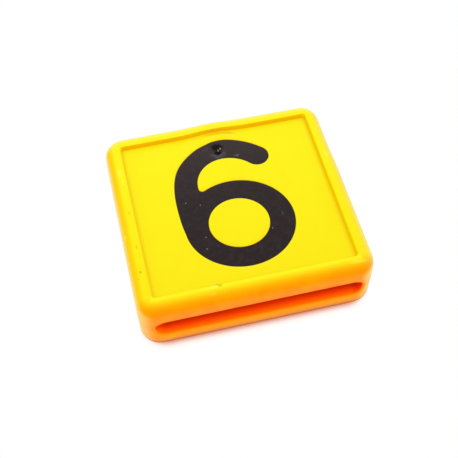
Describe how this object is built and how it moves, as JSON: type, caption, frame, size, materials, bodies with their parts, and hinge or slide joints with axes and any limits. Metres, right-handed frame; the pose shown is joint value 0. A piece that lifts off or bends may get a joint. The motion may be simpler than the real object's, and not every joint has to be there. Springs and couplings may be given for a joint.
{
  "type": "collar number tag",
  "caption": "Moulded plastic block with a strap slot through it and a sunk, rimmed face that carries one inlaid digit.",
  "frame": {"origin": "middle of the flat back, on the surface that the tag lies on", "axes": "+X across the slot's width, +Y up the digit, +Z out of the numbered face; the collar's webbing runs along Y"},
  "size_m": [0.048, 0.046, 0.0131],
  "materials": {
    "body_plastic": "signal yellow polyamide, satin as moulded",
    "digit_plastic": "black plastic of the second shot, satin, level with the panel"
  },
  "bodies": {
    "root": {"tag_body": "body_plastic", "digit_inlay": "digit_plastic"}
  },
  "joints": []
}
